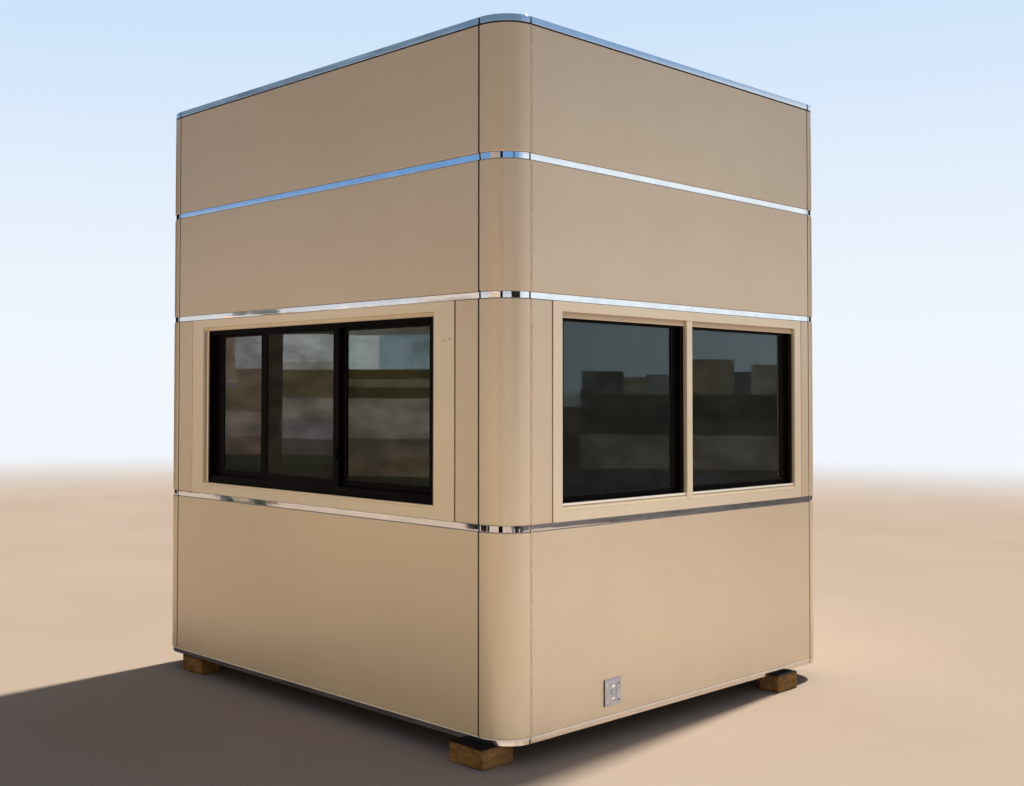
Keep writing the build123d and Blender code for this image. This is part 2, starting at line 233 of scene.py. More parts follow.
def coated_sheet(name, colour, rough, metallic, coat, dust_top=0.55, grime=0, shade=0):
    """Satin metallic coating: fine flakes, soft sheet waves, faint rain streaks, dust near the ground, grime
    that grows towards the roof, and painted shade, a dark brown, in what stands behind the faces."""
    look = Look(name, {"Metallic": metallic, "Coat Weight": coat, "Coat Roughness": 0.14}, colour)
    across, along, level = look.parts
    look.mottle(look.noise(0.8), 0.975, 1.025)
    look.lay(look.spread(look.noise(300, 0), 0.3, 0.7, 0, 0.04), 1.12)
    look.lay(look.spread(look.noise(1, stretch=(20, 20, 0.7)), 0.52, 0.8, 0, 0.07), 0.72)
    low = look.spread(level, 0.1, dust_top, 1, 0)
    blotch = look.spread(look.noise(5, 3), 0.36, 0.72)
    dust = look.times(look.times(low, low), look.sum(look.times(blotch, 0.1), 0.12))
    look.lay(dust, DUST)
    look.lay(look.spread(level, 1.2, 3.1, 0, grime), 0.25)
    # Painted shade: faces set back behind the face of the booth go dark brown; on the side windows most at
    # the head, on the front on the jambs and not at the head
    if shade:
        reach = look.work("MAXIMUM", look.work("ABSOLUTE", across), look.work("ABSOLUTE", along))
        behind = look.spread(reach, HALF - 0.0035, HALF - 0.015)
        others = look.times(look.spread(along, -1.33, -1.3), look.spread(level, 1.925, 1.962, 0.45, 1))
        front = look.times(look.spread(along, -1.3, -1.33), look.spread(level, 1.935, 1.955, 0.85, 0))
        look.lay(look.times(look.times(behind, look.sum(others, front)), shade), PAINTED_RECESS_SHADE)
    roughness = look.spread(look.noise(3), 0.3, 0.7, rough - 0.03, rough + 0.04)
    peel = look.bump(look.noise(170, 0), 0.000008, 0.5)
    wave = look.bump(look.noise(1.7, 1, 0.4), 0.0022, 0.55, peel)
    return look.done(look.sum(roughness, look.times(dust, 0.25)), wave)


def polished_sheet(name, colour, rough):
    """Mirror polished stainless sheet: slight waves, hairlines along the length, smears and water spots."""
    look = Look(name, {"Metallic": 1.0}, colour)
    smear = look.noise(9, 5, 0.65)
    hair = look.noise(1, 2, 0.6, (3, 3, 2400))
    cells = look.node("TexVoronoi", {"Vector": look.place, "Scale": 70.0}).outputs["Distance"]
    look.mottle(smear, 0.93, 1.04, 0.35)
    look.lay(look.times(look.spread(cells, 0.02, 0.1, 1, 0), 0.18), 0.6)
    roughness = look.sum(look.spread(smear, 0.45, 0.8, rough, rough + 0.06), look.times(hair, 0.02))
    return look.done(roughness, look.bump(look.noise(7), 0.001, 0.5, look.bump(hair, 0.00001, 0.3)))


def dark_section(name, colour, rough, dust):
    """Powder coated section: fine texture, rubbed spots, and dust on what faces up, laid on strongly so that
    it also stands in for sky light on top faces as a painted highlight.
    """
    look = Look(name, {"Specular IOR Level": 0.05}, colour)
    broad = look.noise(6, 4, 0.6)
    speck = look.noise(650, 1)
    look.mottle(broad, 0.85, 1.15)
    look.lay(look.spread(speck, 0.45, 0.8, 0, 0.3), 1.6)
    # Dust and painted highlight: top faces go paler, as dust and as the sky's light along the tops of rails
    lying = look.times(look.facing_up(0.55, 0.95), look.spread(look.noise(60, 4)))
    look.lay(look.times(lying, dust), DUST)
    roughness = look.sum(look.spread(broad, 0.3, 0.7, rough - 0.05, rough + 0.08), look.times(lying, 0.25))
    return look.done(roughness, look.bump(speck, 0.00008, 0.7))


def tinted_pane(name, colour, alpha, index):
    """Dark tinted glass that light passes straight through, with faint smears and dust in its gloss."""
    look = Look(name, {"Alpha": alpha, "IOR": index, "Specular Tint": (0.72, 0.95, 1, 1)}, colour)
    smear = look.noise(4, 5, 0.6, warp=0.6)
    look.mottle(smear, 0.8, 1.5, 0.5, 0.8)
    specks = look.spread(look.noise(240), 0.66, 0.8, 0, 0.05)
    roughness = look.sum(look.spread(smear, 0.45, 0.8, 0.012, 0.06), specks)
    return look.done(roughness, look.bump(look.noise(2.4, 1), 0.001, 0.35))


def lining(name, colour, rough):
    """Laminated wall lining: soft mottling, a fine emboss and scuffs low down."""
    look = Look(name, {}, colour)
    look.mottle(look.noise(2, 4, 0.6), 0.92, 1.05)
    scuff = look.times(look.spread(look.parts[2], 0.25, 0.9, 1, 0),
                       look.spread(look.noise(12, 5, 0.7, (1, 1, 0.25)), 0.55, 0.75))
    look.lay(look.times(scuff, 0.4), 0.6)
    roughness = look.spread(look.noise(20, 3), 0.3, 0.7, rough - 0.05, rough + 0.06)
    return look.done(roughness, look.bump(look.noise(320), 0.00012, 0.7))


def primed_steel(name, colour, rough):
    """Grey primed steel with brush texture, dirt and rust where it is chipped."""
    look = Look(name, {"Metallic": 0.15}, colour)
    broad = look.noise(3, 5, 0.65)
    chip = look.spread(look.noise(16, 6, 0.7), 0.6, 0.68)
    look.mottle(broad, 0.75, 1.25)
    look.lay(chip, look.mix(look.noise(60, 3), *RUST))
    roughness = look.sum(look.spread(broad, 0.3, 0.7, rough - 0.06, rough + 0.1), look.times(chip, 0.2))
    brushed = look.noise(1, 3, 0.6, (40, 40, 300))
    return look.done(roughness, look.bump(look.sum(brushed, chip), 0.0003, 0.6))


def deck_board(name, colour, rough):
    """Sealed plywood: long grain, growth bands and worn patches."""
    look = Look(name, {}, colour)
    grain = look.noise(1, 6, 0.62, (3, 60, 60), 0.4)
    bands = look.noise(1, 3, 0.5, (0.7, 7, 7), 1.2)
    look.mottle(bands, 0.75, 1.2, 0.35, 0.65)
    look.lay(look.spread(grain, 0.35, 0.7, 0, 0.55), 0.5)
    roughness = look.spread(look.noise(5, 5, 0.6), 0.3, 0.7, rough - 0.1, rough + 0.12)
    return look.done(roughness, look.bump(grain, 0.0004, 0.6))


def weathered_block(name, colour, rough):
    """Rough sawn, weathered timber: coarse grain, pits, pale dust, dark patches, and a top painted near black
    as shade.
    """
    look = Look(name, {"Specular IOR Level": 0.15}, colour)
    grain = look.noise(1, 6, 0.7, (12, 12, 70), 0.8)
    cells = look.node("TexVoronoi", {"Vector": look.place, "Scale": 75.0}).outputs["Distance"]
    patch = look.noise(9, 5, 0.65)
    look.mottle(patch, 0.55, 1.3)
    look.lay(look.spread(grain, 0.4, 0.7, 0, 0.65), 0.35)
    look.lay(look.spread(look.noise(28, 5, 0.7), 0.58, 0.76, 0, 0.3), DUST)
    # Painted shade: the top face and the top of the sides go near black, as in the shade under the booth
    painted_shade_top = look.sum(look.facing_up(0.4, 0.8), look.spread(look.parts[2], 0.074, 0.088, 0, 0.6))
    look.lay(look.node("Clamp", {0: painted_shade_top}).outputs[0], 0.035)
    roughness = look.spread(patch, 0.3, 0.7, rough - 0.06, rough + 0.06)
    coarse = look.bump(look.sum(grain, look.times(look.spread(cells, 0.05, 0.35), 0.5)), 0.0035, 0.8)
    return look.done(roughness, look.bump(look.noise(300, 4, 0.7), 0.0007, 0.7, coarse))


def brushed_metal(name, colour, rough):
    """Brushed metal with directional hairlines, smears and fine scratches."""
    look = Look(name, {"Metallic": 1.0}, colour)
    hair = look.noise(1, 3, 0.6, (700, 700, 12))
    smear = look.noise(30, 4, 0.6)
    look.mottle(hair, 0.82, 1.1)
    look.lay(look.spread(smear, 0.55, 0.8, 0, 0.3), 0.7)
    roughness = look.sum(look.spread(smear, 0.3, 0.7, rough - 0.05, rough + 0.08), look.times(hair, 0.08))
    return look.done(roughness, look.bump(hair, 0.00005, 0.6))


def rubber(name, colour):
    """Matt rubber or sealant with a fine grain, a pale bloom, and dust on what faces up."""
    look = Look(name, {"Specular IOR Level": 0.25}, colour)
    look.lay(look.spread(look.noise(45, 4, 0.6), 0.45, 0.75, 0, 0.35), 2)
    lying = look.times(look.facing_up(0.5, 0.9), look.spread(look.noise(60, 3), 0.2, 0.7))
    look.lay(look.times(lying, 0.35), DUST)
    roughness = look.spread(look.noise(90, 3), 0.3, 0.7, 0.55, 0.78)
    return look.done(roughness, look.bump(look.noise(900), 0.00008, 0.7))


# Name, maker, colour, then what that maker asks for
LOOKS = {name: maker(name, *values) for name, maker, *values in (
    ("cladding", coated_sheet, (0.76, 0.62, 0.455), 0.36, 0.22, 0.25, 0.55, 0.2),
    ("window_trim", coated_sheet, (0.84, 0.715, 0.54), 0.34, 0.12, 0.28, 0.2, 0, 0.7),
    # Painted light: a lighter, warmer copy of the window trim, for sills and a bead that stand in for
    # catching light
    ("sill_trim", coated_sheet, (0.98, 0.8, 0.54), 0.4, 0, 0.15, 0.2),
    # Painted highlight: a near white coat for thin edges, beads and tabs that stand in for highlight lines
    # and glints
    ("pale_bead", coated_sheet, (1, 0.95, 0.84), 0.34, 0, 0.3, 0.2),
    ("polished_steel", polished_sheet, (0.9, 0.91, 0.93), 0.03),
    ("dull_steel", polished_sheet, (0.8, 0.765, 0.74), 0.09),
    ("black_frame", dark_section, (0.0032, 0.0024, 0.002), 0.4, 0.38),
    ("tinted_glass", tinted_pane, (0.005, 0.007, 0.007), 0.74, 1.78),
    ("wall_board", lining, (0.16, 0.145, 0.13), 0.55),
    ("frame_steel", primed_steel, (0.13, 0.13, 0.135), 0.52),
    ("floor_board", deck_board, (0.28, 0.2, 0.13), 0.45),
    ("roof_sheet", coated_sheet, (0.66, 0.66, 0.64), 0.46, 0.1, 0, 0.2),
    ("door_paint", coated_sheet, (0.7, 0.57, 0.42), 0.4, 0.2, 0.2),
    ("handle_steel", brushed_metal, (0.58, 0.58, 0.59), 0.28),
    ("plate_metal", brushed_metal, (0.72, 0.8, 0.95), 0.36),
    ("block", weathered_block, (0.22, 0.118, 0.043), 0.86),
    ("rubber", rubber, (0.01, 0.009, 0.008)),
    ("sealant", rubber, (0.014, 0.01, 0.008)),
    ("seam_filler", rubber, (0.038, 0.02, 0.011)),
    ("brown_sealant", rubber, (0.24, 0.115, 0.045)),
    ("beige_sealant", rubber, (0.84, 0.64, 0.49)),
)}


# Mesh helpers
booth = bpy.data.collections.new("booth")


def piece(name, bm, slot, node=None, look=None, sheet=None):
    """Turn a bmesh into a piece of the booth: smooth faces, weighted normals, the look of its slot or the
    look given, and its CAD node hidden.
    """
    if not sheet:
        bmesh.ops.dissolve_degenerate(bm, dist=1e-6, edges=bm.edges)
        bmesh.ops.recalc_face_normals(bm, faces=bm.faces)
    made = mesh_object(name, bm, LOOKS[look or slot])
    made.data.polygons.foreach_set("use_smooth", [True] * len(made.data.polygons))
    booth.objects.link(made)
    if sheet:
        fold = made.modifiers.new("sheet", "SOLIDIFY")
        fold.thickness = sheet
        fold.offset = -1
        fold.use_even_offset = True
    soft = made.modifiers.new("normals", "WEIGHTED_NORMAL")
    soft.keep_sharp = True
    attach(made, "root")
    if node:
        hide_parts(node)


def around(steps):
    return [2 * pi * i / steps for i in range(steps)]


def skin(bm, rows):
    """Faces between rows of vertices, each row closed on itself."""
    for row, following in zip(rows, rows[1:]):
        for i in range(len(row)):
            j = (i + 1) % len(row)
            bm.faces.new((row[i], following[i], following[j], row[j]))


def loft(bm, rings):
    """Join rings of points into a closed shape with a face at each end."""
    rows = [[bm.verts.new(point) for point in ring] for ring in rings]
    skin(bm, rows)
    bm.faces.new(rows[0])
    bm.faces.new(rows[-1][::-1])


def edges_at(verts):
    """The edges at some vertices, each once and always in the same order."""
    return list(dict.fromkeys(edge for vert in verts for edge in vert.link_edges))


def bevel(bm, edges, radius, steps):
    bmesh.ops.bevel(bm, geom=edges, offset=radius, segments=steps, profile=0.5, affect="EDGES",
                    clamp_overlap=True)


# The faces of a box by its corners, the back first
BOX_FACES = ((5, 4, 6, 7), (0, 1, 3, 2), (4, 0, 2, 6), (1, 5, 7, 3), (2, 3, 7, 6), (4, 5, 1, 0))


def box(bm, side, across, up, depth, faces=BOX_FACES):
    """A box between two distances across, two levels and two depths. Returns its corners, front first."""
    corners = [bm.verts.new(at(side, a, u, d)) for d in depth for u in up for a in across]
    for order in faces:
        bm.faces.new([corners[i] for i in order])
    return corners


def bar(bm, side, across, up, depth, radius, steps=2):
    """A bar whose edges are rounded where a radius is given."""
    corners = box(bm, side, across, up, depth)
    if radius:
        bevel(bm, edges_at(corners), radius, steps)


def tray(bm, side, across, up):
    """A folded tray, open at the back: the skin and four returned edges."""
    corners = box(bm, side, across, up, (0, CLAD), BOX_FACES[1:])
    back = set(corners[4:])
    bevel(bm, [edge for edge in edges_at(corners) if not set(edge.verts) <= back], 0.0045, 3)


def corner_point(corner, angle, radius, level):
    x, y, first = CORNERS[corner]
    turn = radians(first + angle)
    return Vector((x * RUN + radius * cos(turn), y * RUN + radius * sin(turn), level))


def corner_tray(bm, corner, up, steps=30):
    """A rolled quarter-round skin with four returned edges, open at the back."""
    section = list(zip((RADIUS, RADIUS, RADIUS - CLAD, RADIUS - CLAD), (*up, up[1], up[0])))
    columns = [[bm.verts.new(corner_point(corner, 90 * i / steps, reach, level)) for reach, level in section]
               for i in range(steps + 1)]
    for left, right in zip(columns, columns[1:]):
        for low, high in ((0, 1), (1, 2), (3, 0)):
            bm.faces.new((left[low], right[low], right[high], left[high]))
    first, last = columns[0], columns[-1]
    bm.faces.new((first[3], first[0], first[1], first[2]))
    bm.faces.new((last[0], last[3], last[2], last[1]))
    outer = {vert for column in columns for vert in column[:2]}
    ends = {*first, *last}
    soft = []
    for edge in edges_at([vert for column in columns for vert in column]):
        verts = set(edge.verts)
        outside = len(verts & outer)
        level = abs(edge.verts[0].co.z - edge.verts[1].co.z) < 1e-6
        if outside == 2 and level or outside and verts <= ends:
            soft.append(edge)
    bevel(bm, soft, 0.0055, 3)


def rounded(points, steps=2):
    """Round the corners of a closed section. A point is (x, y, radius) with, or without, a tag to keep."""
    made = []
    for i, (x, y, radius, *tag) in enumerate(points):
        if not radius:
            made.append((x, y, *tag))
            continue
        here = Vector((x, y))
        before = (Vector(points[i - 1][:2]) - here).normalized()
        after = (Vector(points[(i + 1) % len(points)][:2]) - here).normalized()
        centre = here + radius * (before + after)
        for step in range(steps + 1):
            turn = pi / 2 * step / steps
            point = centre - radius * (after * cos(turn) + before * sin(turn))
            made.append((*point, *tag))
    return made


def straight(bm, side, across, section):
    """A closed section of (depth, level) swept between two distances across."""
    loft(bm, [[at(side, a, level, depth) for depth, level in section] for a in across])


def band_section(low, high, front, back, radius):
    return rounded([(front, low, radius), (front, high, radius), (back, high, 0), (back, low, 0)])


def band_runs(bm, section, gap_for_door=False, joint=JOINT):
    """A band round the booth: four straight lengths and four corner lengths, with joints between."""
    for side in SIDES:
        ends = [(-RUN + joint, RUN - joint)]
        if side == "back" and gap_for_door:
            ends = [(-RUN + joint, DOOR_FRAME[0]), (DOOR_FRAME[1], RUN - joint)]
        for across in ends:
            straight(bm, side, across, section)
    first, steps = degrees(joint / RADIUS), 40
    turns = [first + (90 - 2 * first) * i / steps for i in range(steps + 1)]
    for corner in CORNERS:
        loft(bm, [[corner_point(corner, turn, RADIUS - depth, level) for depth, level in section]
                  for turn in turns])


def ring(bm, side, outer, widths, section, lips=(0, 0, 0, 0)):
    """Four mitred members round a rectangle. outer is (start, end, foot, head), and widths and lips go with
    the foot, end, head and start. A section's tag is (share of the width, share of the lip)."""
    start, end, foot, head = ((outer[0], 1, 3), (outer[1], -1, 1), (outer[2], 1, 0), (outer[3], -1, 2))
    corners = ((start, foot), (end, foot), (end, head), (start, head))
    travel = ((1, 0), (0, 1), (-1, 0), (0, -1))

    def mitre(corner, way):
        points = []
        for x, depth, (share, lip) in section:
            spot = [edge + sign * (x - share * NOMINAL + share * widths[i] + lip * lips[i]) + step * FIT
                    for (edge, sign, i), step in zip(corner, way)]
            points.append(at(side, *spot, depth))
        return points

    for i, (across, up) in enumerate(travel):
        loft(bm, (mitre(corners[i], (across, up)), mitre(corners[(i + 1) % 4], (-across, -up))))


def ring_section(front, back, radius):
    """A plain section for ring(): the outer edge, the inner edge and the two depths."""
    return rounded([(0, front, radius, (0, 0)), (NOMINAL, front, radius, (1, 0)),
                    (NOMINAL, back, radius, (1, 0)), (0, back, radius, (0, 0))])


def lipped_section(step, back, radius=0):
    """A section for ring() whose inner edge has a lip from the depth of the step to the back."""
    return rounded([(0, 0, 0.0022, (0, 0)), (NOMINAL, 0, 0.003, (1, 0)), (NOMINAL, step, 0, (1, 0)),
                    (NOMINAL, step, 0, (1, 1)), (NOMINAL, back, radius, (1, 1)), (0, back, 0, (0, 0))])


def screw(bm, side, across, up, depth, radius, rise):
    """A domed screw head with a cross recess, standing on a face at the given depth."""
    steps = 20
    rows = [[shape] * steps for shape in ((1.0, 0.0), (0.98, 0.35), (0.8, 0.8), (0.52, 0.98))]
    rows.append([(0.5, 0.25) if i % 5 in (0, 1) else (0.2, 0.98) for i in range(steps)])
    loft(bm, [[at(side, across + radius * share * cos(turn), up + radius * share * sin(turn),
                  depth - rise * lift) for turn, (share, lift) in zip(around(steps), row)] for row in rows])


def turned(bm, start, end, profile, steps=24):
    """A turned shape on the line from start to end. profile lists (distance along it, radius)."""
    axis = (end - start).normalized()
    across = axis.orthogonal().normalized()
    other = axis.cross(across)
    loft(bm, [[start + axis * along + radius * (across * cos(turn) + other * sin(turn))
               for turn in around(steps)] for along, radius in profile])


def soft_rod(bm, start, end, radius, soft, steps=24):
    """A rod with rounded ends."""
    length = (end - start).length
    turns = [pi / 6 * i for i in (3, 2, 1, 0)]
    profile = [(soft * (1 - sin(turn)), radius - soft * (1 - cos(turn))) for turn in turns]
    turned(bm, start, end, profile + [(length - along, reach) for along, reach in reversed(profile)], steps)


def plate(bm, side, middle, size, corner, depth, soft, well=None):
    """A flat plate with rounded corners and a softened front edge. well is the width, height and depth of a
    sunk middle."""
    front, back = depth
    loops = [(size, corner, 0, back), (size, corner, 0, front + soft),
             (size, corner, 0.3 * soft, front + 0.3 * soft), (size, corner, soft, front)]
    if well:
        loops += [(well, 0.004, 0, front), (well, 0.004, 0.001, front + well[2])]
    rings = []
    for extent, bend, inset, level in loops:
        spots = []
        for sign_x, sign_y, start in ((1, 1, 0), (-1, 1, 90), (-1, -1, 180), (1, -1, 270)):
            x, y = sign_x * (extent[0] / 2 - bend), sign_y * (extent[1] / 2 - bend)
            for turn in [radians(start + 15 * i) for i in range(7)]:
                across = middle[0] + x + (bend - inset) * cos(turn)
                spots.append(at(side, across, middle[1] + y + (bend - inset) * sin(turn), level))
        rings.append(spots)
    loft(bm, rings)


# Cladding
def build_cladding():
    edge = RUN - SEAM
    for side, (start, end) in SURROUND.items():
        bm = bmesh.new()
        for row in (ROWS[0], ROWS[2], ROWS[3]):
            tray(bm, side, (-edge, edge), row)
        for across in ((-edge, start - SEAM), (end + SEAM, edge)):
            tray(bm, side, across, ROWS[1])
        piece(f"{side}_trays", bm, "cladding", f"{side}_cladding", sheet=SHEET)
    bm = bmesh.new()
    for across in ((-edge, DOOR_FRAME[0] - SEAM), (DOOR_FRAME[1] + SEAM, edge)):
        for row in ROWS[:3]:
            tray(bm, "back", across, row)
    tray(bm, "back", DOOR_FRAME, (ROWS[0][0], RAIL_TOP))
    tray(bm, "back", DOOR_FRAME, (DOOR_FRAME_TOP, ROWS[2][1]))
    tray(bm, "back", (-edge, edge), ROWS[3])
    piece("back_trays", bm, "cladding", "back_cladding", sheet=SHEET)
    for corner in CORNERS:
        bm = bmesh.new()
        for row in ROWS:
            corner_tray(bm, corner, row)
        piece(f"{corner}_corner_skins", bm, "cladding", f"{corner}_corner_panels", sheet=SHEET)


def build_bands():
    """The strips, the base trim with its top edge painted pale as a highlight line, and the coping, which is
    folded over a hollow.
    """
    for name, (low, high) in STRIPS.items():
        bm = bmesh.new()
        section = band_section(low + EASE, high - EASE, STRIP_RECESS, CLAD, 0.0012)
        band_runs(bm, section, gap_for_door=name != "upper_strip")
        piece(f"{name}_bands", bm, "polished_steel", name)
    low, high = BASE_TRIM
    top = high - 0.0064
    bm = bmesh.new()
    section = [(TRIM_RECESS, low, 0.0015), (TRIM_RECESS, top, 0.0008), (CLAD, top, 0), (CLAD, low, 0)]
    band_runs(bm, rounded(section))
    piece("base_trim_bands", bm, "polished_steel", "base_trim", look="dull_steel")
    # The base trim's top edge, painted pale as a highlight line
    bm = bmesh.new()
    band_runs(bm, band_section(top + 0.0002, high - FIT, 0.0014, CLAD, 0.001))
    piece("base_trim_edge", bm, "polished_steel", look="pale_bead")
    low, high = COPING
    inner, drip, fold = WALL + 0.01, low + 0.005, 0.003
    bm = bmesh.new()
    section = [(0, drip, 0.001), (0, high, fold), (inner, high, fold), (inner, low, 0.001),
               (inner - fold, low, 0.001), (inner - fold, high - 0.004, 0), (fold, high - 0.004, 0),
               (fold, drip, 0.001)]
    band_runs(bm, rounded(section), joint=0.0055)
    piece("coping_bands", bm, "polished_steel", "coping")


def build_seals():
    """Sealant in the seams: dark in the open ones, brown round the windows, beige where it is flush, its pale
    tone painted light that stands in for the lit returns of those seams.
    """
    joint, dark, brown, beige = [bmesh.new() for _ in range(4)]
    flush, set_back = 0.0012, 0.0026
    for side in SIDES:
        for sign in (-1, 1):
            def fill(bm, near, far, up, depth):
                bar(bm, side, sorted((sign * near, sign * far)), up, (depth, CLAD), 0)

            # These seams take a flush beige fill, painted pale as the light on their returns
            filled = (side, sign) in (("right", -1), ("back", 1))
            target, spare, depth = (beige, 0, flush) if filled else (dark, EASE, 0.0022)
            for row in ROWS:
                fill(target, RUN - SEAM - spare, RUN + spare, row, depth)
            for low, high in (BASE_TRIM, *STRIPS.values()):
                fill(joint, RUN - JOINT, RUN + 0.0027, (low + EASE, high - EASE), 0.0058)
            fill(joint, RUN - 0.0055, RUN + 0.0054, (COPING[0] + 0.005, COPING[1] - 0.002), 0.0016)
    for side, (start, end) in SURROUND.items():
        # The front surround's start seam also takes the flush beige fill painted pale as light
        left, depth = (beige, flush) if side == "front" else (brown, set_back)
        bar(left, side, (start - SEAM - 0.001, start), ROWS[1], (depth, CLAD), 0)
        bar(brown, side, (end, end + SEAM + 0.001), ROWS[1], (set_back, CLAD), 0)
    for across in ((DOOR_FRAME[0] - SEAM, DOOR_FRAME[0]), (DOOR_FRAME[1], DOOR_FRAME[1] + SEAM)):
        for low, high in ROWS[:3]:
            bar(dark, "back", across, (low, min(high, DOOR_FRAME_TOP)), (0.01, CLAD), 0)
    band_runs(joint, band_section(COPING[0] - 0.004, COPING[0] + 0.008, 0.006, CLAD, 0), joint=0.0)
    piece("joint_sealant", joint, "black_frame", look="sealant")
    piece("seam_sealant", dark, "black_frame", look="seam_filler")
    piece("window_seam_sealant", brown, "black_frame", look="brown_sealant")
    piece("corner_seam_sealant", beige, "window_trim", look="beige_sealant")


# Windows
def build_surrounds():
    """Surrounds with a lip round the opening, mullions on the side windows, sloped sills painted lighter as
    lit, and pale beads painted as highlight lines.
    """
    sills, beads = bmesh.new(), bmesh.new()
    half_mullion, foot = 0.023, SILL - 0.001
    for side, (start, end) in SURROUND.items():
        opening = OPENING[side]
        widths = (SILL - ROWS[1][0], end - opening[1], ROWS[1][1] - HEAD, opening[0] - start)
        lips, rise, bays = (0.009, 0.018, 0.018, 0.031), 0.009, (opening,)
        bm = bmesh.new()
        if side in MULLION:
            low, high = MULLION[side] - half_mullion, MULLION[side] + half_mullion
            lips, rise, bays = (0.027, 0, 0.027, 0), 0.012, ((opening[0], low), (high, opening[1]))
            bar(bm, side, (low, high), (SILL, HEAD), (0, CLAD), 0.003, 3)
        ring(bm, side, (start, end, *ROWS[1]), widths, lipped_section(0.016, CLAD), lips)
        slope = [(0.0009, foot), (0.0085, SILL + rise), (0.0158, SILL + rise + 0.0015), (0.0158, foot)]
        for low, high in bays:
            across = (low + FIT, high - FIT)
            straight(sills, side, across, slope)
            if side in MULLION:
                # Pale beads on the side sills, painted as highlight lines
                bar(beads, side, across, (SILL + 0.0165, SILL + 0.0268), (0.0125, 0.0159), 0.001)
        piece(f"{side}_surround", bm, "window_trim", f"{side}_window_surround")
    # A bead on the front window's start jamb, in the sill trim that is painted lighter as lit
    left = OPENING["front"][0]
    bar(sills, "front", (left + 0.0195, left + 0.0308), (SILL + 0.012, HEAD - 0.02), (0.0142, 0.0159), 0.0005)
    piece("window_sills", sills, "window_trim", look="sill_trim")
    piece("window_beads", beads, "window_trim", look="pale_bead")


def sash(frames, beads, side, across, up, depth, stiles, rails, radii, inset):
    """A sash: stiles at its start and end, rails at its foot and head, and glazing beads on both sides of the
    pane. radii are those of the stiles and foot rail, then the head rail. inset is how deep the beads lie."""
    inner = (across[0] + stiles[0], across[1] - stiles[1])
    for edges in ((across[0], inner[0]), (inner[1], across[1])):
        bar(frames, side, edges, up, depth, radii[0], 3)
    levels = ((up[0], up[0] + rails[0]), (up[1] - rails[1], up[1]))
    between, set_back = (inner[0] + FIT, inner[1] - FIT), (depth[0] + 0.0006, depth[1] - 0.0006)
    for level, radius in zip(levels, radii):
        bar(frames, side, between, level, set_back, radius, 3)
    middle, half_pane = sum(depth) / 2, 0.0031
    for bead in ((depth[0] + inset, middle - half_pane), (middle + half_pane, depth[1] - inset)):
        ring(beads, side, (*inner, levels[0][1], levels[1][0]), (0.004,) * 4, ring_section(*bead, 0.0006))


def build_front_window():
    """Three sashes in a frame with three pairs of track rails."""
    low, high = 1.119, 1.927
    bm = bmesh.new()
    outer = (*OPENING["front"], SILL, HEAD)
    ring(bm, "front", outer, (0.04, 0.04, 0.034, 0.04), ring_section(CLAD, WALL, 0.0015))
    for depth in ((0.0285, 0.0305), (0.0558, 0.0572), (0.0822, 0.0842)):
        for up in ((low - 0.001, low + 0.011), (high - 0.009, high + 0.001)):
            bar(bm, "front", (-0.893, 0.87), up, depth, 0.0005, 1)
    piece("front_track_frame", bm, "black_frame", "front_window_frame")
    bm, beads = bmesh.new(), bmesh.new()
    for across, depth, stiles in FRONT_SASHES:
        sash(bm, beads, "front", across, (low, high), depth, stiles, (0.045, 0.02), (0.0022, 0.0022), 0.0022)
    piece("front_sashes", bm, "black_frame", "front_window_sashes")
    piece("front_glazing_beads", beads, "black_frame", look="rubber")


def build_side_windows():
    """Two framed panes in each side window, in frames that are slimmer away from the mullion."""
    edge, slim, deep = 0.027, 0.025, 0.044
    for side, middle in MULLION.items():
        start, end = OPENING[side]
        bm, beads = bmesh.new(), bmesh.new()
        for low, high, near, far in ((start, middle - 0.004, slim, deep), (middle + 0.004, end, deep, slim)):
            ring(bm, side, (low, high, SILL, HEAD), (edge, far, edge, near), ring_section(CLAD, WALL, 0.0015))
            sash(bm, beads, side, (low + near, high - far), (SILL + edge, HEAD - edge), (0.045, 0.07),
                 (0.035, 0.035), (0.026, 0.008), (0.002, 0.0015), 0.0025)
        piece(f"{side}_sashes", bm, "black_frame", f"{side}_window_sashes")
        piece(f"{side}_glazing_beads", beads, "black_frame", look="rubber")


def build_window_fittings():
    """A latch on the front meeting stile, pulls beside the mullions and screws beside the front window."""
    across, up = 0.2035, 1.285
    bm = bmesh.new()
    plate(bm, "front", (across, up), (0.015, 0.074), 0.0045, (0.0308, 0.0331), 0.001)
    soft_rod(bm, at("front", across, up, 0.0312), at("front", across, up, 0.0262), 0.0058, 0.001)
    soft_rod(bm, at("front", across, 1.262, 0.0275), at("front", across, 1.318, 0.0275), 0.0026, 0.0018, 12)
    for row in (-0.03, 0.03):
        screw(bm, "front", across, up + row, 0.0309, 0.0024, 0.0009)
    for side, across in (("right", -0.03), ("right", 0.06), ("left", 0.03), ("left", -0.06)):
        plate(bm, side, (across, 1.505), (0.014, 0.09), 0.005, (0.043, 0.0451), 0.001)
    piece("sash_latches", bm, "black_frame")
    bm = bmesh.new()
    for across, up in ((0.984, 1.828), (1.012, 1.837)):
        screw(bm, "front", across, up, 0.0003, 0.0032, 0.0012)
    piece("surround_screws", bm, "black_frame", look="sealant")


